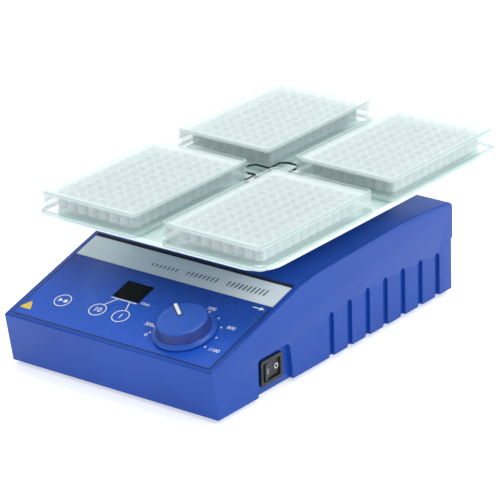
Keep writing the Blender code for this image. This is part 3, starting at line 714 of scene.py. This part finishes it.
class SHAKER_OT_panel(bpy.types.Operator):
    """The control film, the foil strip, the display window and their print, with painted shadow along the
    film's top and edges
    """

    bl_idname = "shaker.panel"
    bl_label = "Control panel"

    def execute(self, context):
        settings = context.scene.shaker_panel
        finish_nodes(polyester_film(settings.colour), "control_overlay")
        finish_nodes(foil_label(), "panel_strip")
        finish_nodes(acrylic_window(), "display_window")
        place = panel_frame()
        ink = screen_ink(settings.ink)
        piece("panel_print", self.dial() + self.bracket(), ink, "base", place=place)
        mark = moved(polygon(self.triangle(5.0)), -78.6, 10.9, LIFT)
        piece("panel_mark", [mark], yellow_ink(), "base", place=place)
        piece("strip_print", self.scale(), strip_ink(), "base", place=place)
        low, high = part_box("control_overlay")
        half = (high.x - low.x) / 2 / MM
        # Painted shadow: a black rubber band along the top of the film stands for the shadow under the
        # tray's front edge.
        shadow_band = moved(polygon([(-half, 94.9), (half, 94.9), (half, 97.7), (-half, 97.7)]), z=LIFT)
        # Painted shade: dark ink bars along the film's edges stand for the shade in the groove round it.
        edges = [((-half + 0.3, 1.6), (half - 0.3, 1.6)), ((0.3 - half, 1.2), (0.3 - half, 94.2))]
        edges.append(((half - 0.3, 1.2), (half - 0.3, 72.0)))
        shadow = [moved(bar(*edge, 0.6), z=LIFT) for edge in edges]
        piece("panel_shadow_band", [shadow_band], moulded_rubber(), "base", place=place)
        piece("panel_groove_shade", shadow, strip_ink(), "base", place=place)
        return {"FINISHED"}

    def triangle(self, radius):
        """A triangle with slightly rounded corners."""
        turns = np.radians([84, 96, 204, 216, 324, 336])
        return np.column_stack([radius * np.cos(turns), radius * np.sin(turns)])

    def dial(self):
        """Ten dots round the knob, in equal steps after a shorter first one, and five speeds."""
        first, rest = 203.0, 187.6
        turns = np.radians(np.concatenate([[first], rest - DIAL_STEP * np.arange(9)]))
        dot = [(0.75, 0), (0.75, INK)]
        x, y = KNOB_AT
        shapes = [
            moved(turned(dot, 16), x + DIAL_RADIUS * math.cos(t), y + DIAL_RADIUS * math.sin(t), LIFT)
            for t in turns
        ]
        numbers = {"0": (20.6, 15.3), "200": (15.7, 25.4), "500": (46.2, 55.4)}
        numbers.update({"800": (71.6, 42.8), "1100": (75.0, 18.8)})
        shapes += [moved(text(words, 4.4), *at, LIFT) for words, at in numbers.items()]
        return shapes

    def bracket(self):
        """A line under the display with a link down to each of its two keys, the unit, and an arrow."""
        lines = [((-28.4, 40.6), (-6.6, 40.6)), ((-27.5, 32.2), (-22.6, 40.6))]
        lines.append(((-9.4, 32.2), (-12.4, 40.6)))
        shapes = [moved(bar(*line, 0.8), z=LIFT) for line in lines]
        shapes.append(moved(text("1/min", 3.6), -0.6, 42.6, LIFT))
        shapes.append(moved(bar((71.5, 67.6), (77.5, 67.6), 1.0), z=LIFT))
        shapes.append(moved(polygon([(77.3, 65.9), (81.2, 67.6), (77.3, 69.3)]), z=LIFT))
        return shapes

    def scale(self):
        """A plain scale on the strip: three groups of slightly leaning ticks that grow to the right."""
        shapes = []
        step, low = 3.4, 80.2
        for group, (start, count) in enumerate(((-24.0, 7), (6.0, 8), (40.0, 10))):
            for number in range(count):
                x = start + step * number
                tall = 2.6 + 1.3 * group + 0.12 * number
                shapes.append(moved(bar((x, low), (x + 0.5, low + tall), 1.0), z=STRIP_LIFT))
        return shapes


class SHAKER_OT_keys(bpy.types.Operator):
    """Three flat keys, each with a printed ring and a sign"""

    bl_idname = "shaker.keys"
    bl_label = "Keys"

    def execute(self, context):
        settings = context.scene.shaker_panel
        film = polyester_film(settings.colour)
        ink = screen_ink(settings.ink)
        place = panel_frame()
        start = [moved(polygon([(-3.2, -1.9), (0.2, 0), (-3.2, 1.9)]))]
        start.append(moved(polygon([(1.0, -1.5), (3.8, -1.5), (3.8, 1.5), (1.0, 1.5)])))
        signs = {"start_stop": start, "tens": [text("10", 6.4)], "ones": [text("1", 6.4)]}
        for key, sign in signs.items():
            node = f"key_{key}"
            low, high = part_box(node)
            radius = (high.x - low.x) / 2 / MM
            finish_nodes(film, node)
            inner = radius - settings.ring / MM
            ring = [(radius - 0.05, 0), (radius - 0.05, INK), (inner, INK), (inner, 0)]
            shapes = [turned(ring, 56, ring=True), *sign]
            shapes = [moved(shape, *KEYS_AT[key], LIFT) for shape in shapes]
            body = frame["nodes"][node]["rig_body"]
            piece(f"{key}_print", shapes, ink, body, place=place)
        return {"FINISHED"}


class SHAKER_OT_knob(bpy.types.Operator):
    """The speed knob with its skirt, its shaft and its white pointer, with painted shade on its side and a
    painted shadow round the pointer
    """

    bl_idname = "shaker.knob"
    bl_label = "Speed knob"

    def execute(self, context):
        settings = context.scene.shaker_knob
        place = panel_frame() @ Matrix.Translation((*KNOB_AT, 0))
        dish = settings.dish / MM
        bore = [(3.3, 8.3), (3.3, 0.4)]
        skirt = [(21.3, 0.4), (21.8, 0.55), (22.0, 0.9), (22.0, 1.8), (21.8, 2.15), (21.3, 2.4)]
        waist = [(20.4, 2.65), (19.7, 2.9), (19.25, 3.4), (19.05, 4.1)]
        rim = [(17.35, 10.1), (17.15, 10.6), (16.75, 10.9), (16.2, 11.0), (15.6, 11.0)]
        crown = [(15.0, 11.0 - dish * 0.6), (13.5, 11.0 - dish), (0.4, 11.0 - dish)]
        profile = bore + skirt + waist + rim + crown
        knob = glossy_abs(settings.colour)
        piece("knob_body", [turned(profile, 128)], knob, "knob", ("speed_knob",), place, 50)
        # Painted shade: a thin sheet over the knob's side, deeper blue than the top, stands for the shade
        # that falls on the side.
        shaded_side = turned([(19.32, 3.4), (17.43, 10.1), (17.2, 10.0), (19.0, 3.4)], 128, ring=True)
        piece("knob_side_shade", [shaded_side], matt_side_shade(), "knob", place=place)
        finish_nodes(ground_steel(), "knob_shaft")
        top = 11.0 - dish
        # Painted shadow: a thin black sheet under the white bar, a little wider than it, stands for the
        # dark shadow along its sides.
        shadow_rim = carried([(0, top), (0, top + 0.2)], 14.2, 3.8, 1.2, segments=(12, 24))
        bar_rows = carried(
            [(0, top), (0, 11.85), (0.2, 12.05), (0.45, 12.1)], 12.6, 2.4, 0.8, segments=(12, 24)
        )
        out = 11.2
        at = {"x": out * math.cos(POINTER_ANGLE), "y": out * math.sin(POINTER_ANGLE), "turn": POINTER_ANGLE}
        shadow_shape = moved(lattice(shadow_rim), **at)
        piece("pointer_shadow", [shadow_shape], moulded_nylon(), "knob", place=place)
        white, bar_shape = moulded_white(), moved(lattice(bar_rows), **at)
        piece("pointer_bar", [bar_shape], white, "knob", ("knob_pointer",), place)
        return {"FINISHED"}


class SHAKER_OT_switch(bpy.types.Operator):
    """The mains switch: its bezel, its rocker and the two signs on it"""

    bl_idname = "shaker.switch"
    bl_label = "Mains switch"

    def execute(self, context):
        nylon = moulded_nylon()
        eased_copy("switch_bezel", "rocker_bezel", nylon, 0.35)
        eased_copy("switch_rocker", "rocker", nylon, 0.4, 3)
        pivot = Vector(joint("power_rocker_turn")["pos_m"]) / MM
        tilt = Matrix.Rotation(ROCKER_TILT, 4, "Z")
        ink = screen_ink(context.scene.shaker_panel.ink)
        # Each sign lies on the outer half of a face, which stands 2.7 mm off the pivot where it starts,
        # 4.3 mm from the rocker's middle, and 3.4 mm off it at the rocker's end, 4.3 mm further out.
        outward = Matrix(((0, 0, 1), (1, 0, 0), (0, 1, 0))).to_4x4()
        circle = turned([(1.95, 0), (1.95, INK), (1.35, INK), (1.35, 0)], 40, ring=True)
        stroke = polygon([(-0.35, -2.1), (0.35, -2.1), (0.35, 2.1), (-0.35, 2.1)])
        signs = {"rocker_off_sign": (circle, 6.1, 1), "rocker_on_sign": (stroke, 4.7, -1)}
        near, far, halfway = 2.7, 3.4, 4.3
        rise = math.atan2(far - near, halfway)
        for name, (shape, away, side) in signs.items():
            lean = Matrix.Rotation(-side * rise, 4, "Z")
            height = near + (away - halfway) * math.tan(rise) + 0.03
            spot = Matrix.Translation((height, side * away, 0))
            place = Matrix.Translation(pivot) @ tilt @ spot @ lean @ outward
            piece(name, [shape], ink, "rocker", place=place)
        return {"FINISHED"}


class SHAKER_OT_inlet(bpy.types.Operator):
    """The mains inlet in the back wall, with bright blades in its socket"""

    bl_idname = "shaker.inlet"
    bl_label = "Mains inlet"

    def execute(self, context):
        inlet = eased_copy("inlet_body", "power_inlet", moulded_nylon(), 0.3)
        inlet.data.materials.append(nickel_plate())
        low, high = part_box("power_inlet")
        middle = (low + high) / 2
        mesh = inlet.data
        centres = np.empty(len(mesh.polygons) * 3, np.float32)
        mesh.polygons.foreach_get("center", centres)
        x, y, z = centres.reshape(-1, 3).T
        inside = (abs(x - middle.x) < 8.3 * MM) & (y < high.y - 3.1 * MM) & (y > low.y + 3.7 * MM)
        on_blade = inside & (z - middle.z < 5.9 * MM) & (z - middle.z > -2.6 * MM)
        mesh.polygons.foreach_set("material_index", on_blade.astype(np.int32))
        return {"FINISHED"}


class SHAKER_OT_drive(bpy.types.Operator):
    """The hidden works: bridge, motor, belt, cranks, bearings and boards"""

    bl_idname = "shaker.drive"
    bl_label = "Drive and boards"

    def execute(self, context):
        finish_nodes(galvanised_steel(), "drive_bridge", "motor_case", "speed_potentiometer")
        finish_nodes(turned_aluminium(), "motor_pulley", "main_pulley", "main_bearing_housing")
        finish_nodes(turned_aluminium(), "idler_bearing_left", "idler_bearing_right")
        finish_nodes(cast_zinc(), "counterweight")
        finish_nodes(moulded_rubber(), "drive_belt")
        finish_nodes(solder_resist(), "control_board", "power_board")
        finish_nodes(winding_tape(), "transformer")
        finish_nodes(moulded_nylon(), "display_module")
        steel = ground_steel()
        finish_nodes(steel, "motor_shaft", "main_crank", "idler_crank_left", "idler_crank_right")
        finish_nodes(steel, "main_bearing_lower", "main_bearing_upper")
        finish_nodes(steel, "tray_bearing_main", "tray_bearing_left", "tray_bearing_right")
        finish_nodes(steel, *(f"tray_screw_{number}" for number in range(1, 5)))
        return {"FINISHED"}


class SHAKER_OT_tray(bpy.types.Operator):
    """The orbiting tray, the carrier under it, and the wire spring between the plates"""

    bl_idname = "shaker.tray"
    bl_label = "Tray and spring"

    def execute(self, context):
        metal = anodised_aluminium(context.scene.shaker_tray.colour)
        eased_copy("tray_plate", "tray", metal, 0.5, 2, 50)
        finish_nodes(metal, "tray_carrier")
        finish_nodes(moulded_nylon(), "spring_hub")
        low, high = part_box("plate_spring")
        middle = (low + high) / 2 / MM
        reach = (high.x - low.x) / 2 / MM - 0.8
        path = through_points(self.cross(reach, 7.9))
        path = np.column_stack([path, np.zeros(len(path))]) + np.array(middle)
        wire = (high.z - low.z) / 2 / MM
        shape = level_tube(path, wire, 12)
        piece("spring_wire", [shape], coated_wire(), "tray", ("plate_spring",))
        return {"FINISHED"}

    def cross(self, reach, half):
        """A closed line in the shape of a plus with rounded ends, one quarter turned four times."""
        bend = [(half, half + 1.6), (half + 0.5, half + 0.5), (half + 1.6, half)]
        end = [(reach - 4, half), (reach - 1.6, half - 1.3), (reach, half - 4.2), (reach, 4.2 - half)]
        end += [(reach - 1.6, 1.3 - half), (reach - 4, -half)]
        quarter = np.array(bend + end)
        turns = [np.array([[1, 0], [0, 1]]), np.array([[0, -1], [1, 0]])]
        turns += [-turns[0], -turns[1]]
        return np.concatenate([quarter @ turn for turn in turns])


class SHAKER_OT_plates(bpy.types.Operator):
    """Four clear microplates, each with 96 wells"""

    bl_idname = "shaker.plates"
    bl_label = "Microplates"

    def execute(self, context):
        settings = context.scene.shaker_plate
        clear = polystyrene("clear polystyrene, plate", settings.colour, 0.3, 0.75, (0.12, 0.2))
        edge = polystyrene("clear polystyrene, plate edge", linear("C6DEDA"), 0.5, 0.8, (0.12, 0.2))
        wall = polystyrene("clear polystyrene, plate wall", settings.colour, 0.08, 0.4, (0.12, 0.2))
        web = polystyrene("clear polystyrene, between wells", linear("B6D0CC"), 0.35, 0.6, (0.12, 0.2))
        shape = self.wells(settings.well / MM)
        for end in ENDS:
            node = f"microplate_{end}"
            low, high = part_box(node)
            size = (high - low) / MM
            middle = (low + high) / 2 / MM
            shapes = [self.shell(size.x, size.y), *shape]
            shapes = [moved(each, middle.x, middle.y, low.z / MM) for each in shapes]
            plate = piece(f"wells_{end}", shapes, clear, f"plate_{end}", (node,))
            around = len(outline(1, 1, 0))
            tint_faces(plate, edge, band_faces(around, (4, 5, 6, 7, 8, 9)))
            tint_faces(plate, wall, band_faces(around, (1, 10)))
            first, top = len(shapes[0][1]), len(shapes[1][1]) // (ROWS * COLUMNS)
            deck = first + top * np.arange(ROWS * COLUMNS)[:, None] + np.arange(WELL_SIDES)
            tint_faces(plate, web, deck.ravel())
        return {"FINISHED"}

    def shell(self, width, length):
        """The skirt, the wall and the deck's margin, from the underside of the deck round to its top.

        Its first and last rows are the edge of the block of wells.
        """
        block = outline(PITCH * COLUMNS, PITCH * ROWS, 0)
        edge = [np.column_stack([block, np.full(len(block), z)]) for z in (DECK_UNDER, DECK)]
        profile = [
            (3.4, DECK_UNDER), (3.4, 1.7), (1.3, 1.5), (1.2, 0.0), (0.2, 0.0), (0.0, 0.2), (0.0, 2.2),
            (0.3, 2.5), (1.9, 2.6), (2.2, 2.9), (2.25, 14.1), (2.4, RIM), (3.0, RIM), (3.2, 14.1),
            (3.3, DECK),
        ]
        rows = np.concatenate([edge[:1], carried(profile, width, length, 6.0), edge[1:]])
        points, faces = lattice(rows)
        return points, faces[:-2]

    def wells(self, radius):
        """A square of deck that narrows to a raised rim, a tube and a floor, with its underside apart.

        Both are repeated at every place of the grid.
        """
        square = outline(PITCH, PITCH, 0, segments=(3, 3))
        t = np.radians(-45 + 30 * np.arange(WELL_SIDES))
        ring = np.column_stack([np.cos(t), np.sin(t)])

        def row(loop, z):
            return np.column_stack([loop, np.full(len(loop), z)])

        above = [row(square, DECK), row(ring * (radius + 0.55), DECK), row(ring * (radius + 0.15), RIM)]
        above += [row(ring * (radius - 0.15), RIM), row(ring * (radius - 0.3), WELL_FLOOR)]
        below = [row(ring * (radius + 0.3), WELL_UNDER), row(ring * (radius + 0.55), DECK_UNDER)]
        below += [row(square, DECK_UNDER)]
        top_points, top_faces = lattice(np.array(above))
        low_points, low_faces = lattice(np.array(below))
        top_faces, low_faces = top_faces[:-2] + top_faces[-1:], low_faces[:-1]
        across = (np.arange(COLUMNS) - (COLUMNS - 1) / 2) * PITCH
        along = (np.arange(ROWS) - (ROWS - 1) / 2) * PITCH
        places = np.stack(np.meshgrid(across, along, [0.0], indexing="ij"), -1).reshape(-1, 1, 3)
        shapes = []
        for points, faces in ((top_points, top_faces), (low_points, low_faces)):
            spread = (points[None] + places).reshape(-1, 3)
            repeated = [[at + len(points) * k for at in face] for k in range(len(places)) for face in faces]
            shapes.append((spread, repeated))
        return shapes


class SHAKER_OT_lids(bpy.types.Operator):
    """Four clear lids with a raised lip round their tops"""

    bl_idname = "shaker.lids"
    bl_label = "Lids"

    def execute(self, context):
        settings = context.scene.shaker_plate
        clear = polystyrene("clear polystyrene, lid", settings.lid_colour, 0.09, 0.5, (0.06, 0.1))
        edge = polystyrene("clear polystyrene, lid edge", linear("B4CCCA"), 0.55, 0.8, (0.06, 0.1))
        for end in ENDS:
            node = f"lid_{end}"
            low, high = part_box(node)
            size = (high - low) / MM
            middle = (low + high) / 2 / MM
            tall = size.z
            profile = [
                (2.4, tall - 1.5), (1.6, tall - 1.5), (1.05, tall - 1.9), (0.9, 0.0), (0.15, 0.0),
                (0.0, 0.15), (0.05, tall - 0.6), (0.25, tall - 0.15), (0.6, tall), (1.5, tall),
                (1.8, tall - 0.3), (2.2, tall - 0.7),
            ]
            rows = carried(profile, size.x, size.y, 4.5)
            shape = moved(lattice(rows), middle.x, middle.y, low.z / MM)
            lid = piece(f"clear_lid_{end}", [shape], clear, node, (node,))
            tint_faces(lid, edge, band_faces(rows.shape[1], (3, 4, 6, 7, 8)))
        return {"FINISHED"}


class SHAKER_OT_stage(bpy.types.Operator):
    """The pale floor, the soft lamps and the camera"""

    bl_idname = "shaker.stage"
    bl_label = "Stage"

    def execute(self, context):
        settings = context.scene.shaker_stage
        bpy.ops.mesh.primitive_plane_add(size=40)
        floor = context.object
        floor.name = "floor"
        floor.location.z = -0.0002
        dark, light = between(settings.floor, 0.99, 1.0)
        matt = mottled("matt floor", dark, light, 300, 40, 0.0, (0.8, 0.9))
        shader = matt.node_tree.nodes["Principled BSDF"]
        shader.inputs["Emission Color"].default_value = (1, 1, 1, 1)
        shader.inputs["Emission Strength"].default_value = settings.glow
        floor.data.materials.append(matt)
        context.scene.view_settings.view_transform = "Standard"
        self.world(context.scene)
        self.lamp("key_lamp", (2.1, -0.6, 1.7), 1.3, settings.power, (0.9, 1.0, 1.0))
        self.lamp("fill_lamp", (-1.0, -1.9, 1.2), 1.6, settings.power * 0.15, (1.0, 0.9, 1.0))
        self.lamp("top_lamp", (-0.2, 0.9, 2.2), 1.8, settings.power * 1.1, (1.0, 1.0, 1.0))
        self.lamp("sheen_lamp", (-1.5, 1.9, 1.0), 1.4, settings.power * 0.35, (1.0, 1.0, 1.0))
        self.camera(context.scene)
        return {"FINISHED"}

    def world(self, scene):
        """An even pale light from all round."""
        scene.world = bpy.data.worlds.new("pale room")
        scene.world.use_nodes = True
        ground = scene.world.node_tree.nodes["Background"]
        ground.inputs["Color"].default_value = (1.0, 1.0, 1.0, 1)
        ground.inputs["Strength"].default_value = 0.55

    def lamp(self, name, at, size, power, colour):
        """A square soft lamp aimed at the middle of the object."""
        light = bpy.data.lights.new(name, "AREA")
        light.size = size
        light.energy = power
        light.color = colour
        lamp = bpy.data.objects.new(name, light)
        lamp.location = at
        lamp.rotation_euler = (Vector((0, 0, 0.06)) - Vector(at)).to_track_quat("-Z", "Y").to_euler()
        bpy.context.scene.collection.objects.link(lamp)

    def camera(self, scene):
        """A long lens that looks down at the front right corner."""
        yaw, pitch, roll = np.radians([38.01, 22.16, -1.64])
        back = -np.array([-np.sin(yaw) * np.cos(pitch), np.cos(yaw) * np.cos(pitch), -np.sin(pitch)])
        right = np.array([np.cos(yaw), np.sin(yaw), 0])
        up = np.cross(back, right)
        rolled = np.cos(roll) * right + np.sin(roll) * up
        upright = np.cos(roll) * up - np.sin(roll) * right
        data = bpy.data.cameras.new("camera")
        data.lens = 244.5
        data.sensor_width = 36
        data.clip_end = 100
        camera = bpy.data.objects.new("camera", data)
        scene.collection.objects.link(camera)
        turn = Matrix([rolled, upright, back]).transposed().to_4x4()
        camera.matrix_world = Matrix.Translation((1.3387, -1.7164, 0.9369)) @ turn
        scene.camera = camera


OPERATORS = (
    SHAKER_OT_housing, SHAKER_OT_panel, SHAKER_OT_keys, SHAKER_OT_knob, SHAKER_OT_switch, SHAKER_OT_inlet,
    SHAKER_OT_drive, SHAKER_OT_tray, SHAKER_OT_plates, SHAKER_OT_lids, SHAKER_OT_stage,
)
SETTINGS = {
    "shaker_housing": HousingSettings,
    "shaker_panel": PanelSettings,
    "shaker_knob": KnobSettings,
    "shaker_tray": TraySettings,
    "shaker_plate": PlateSettings,
    "shaker_stage": StageSettings,
}


class SHAKER_PT_pieces(bpy.types.Panel):
    bl_label = "Orbital shaker"
    bl_idname = "SHAKER_PT_pieces"
    bl_space_type = "VIEW_3D"
    bl_region_type = "UI"
    bl_category = "Shaker"

    def draw(self, context):
        for name, group in SETTINGS.items():
            box = self.layout.box()
            for setting in group.__annotations__:
                box.prop(getattr(context.scene, name), setting)
        for operator in OPERATORS:
            self.layout.operator(operator.bl_idname)


def register():
    for group in SETTINGS.values():
        bpy.utils.register_class(group)
    for operator in (*OPERATORS, SHAKER_PT_pieces):
        bpy.utils.register_class(operator)
    for name, group in SETTINGS.items():
        setattr(bpy.types.Scene, name, PointerProperty(type=group))


def unregister():
    for name in SETTINGS:
        delattr(bpy.types.Scene, name)
    for made in (SHAKER_PT_pieces, *reversed(OPERATORS), *reversed(SETTINGS.values())):
        bpy.utils.unregister_class(made)


def main():
    register()
    for operator in OPERATORS:
        group, name = operator.bl_idname.split(".")
        getattr(getattr(bpy.ops, group), name)()


if __name__ == "__main__":
    main()
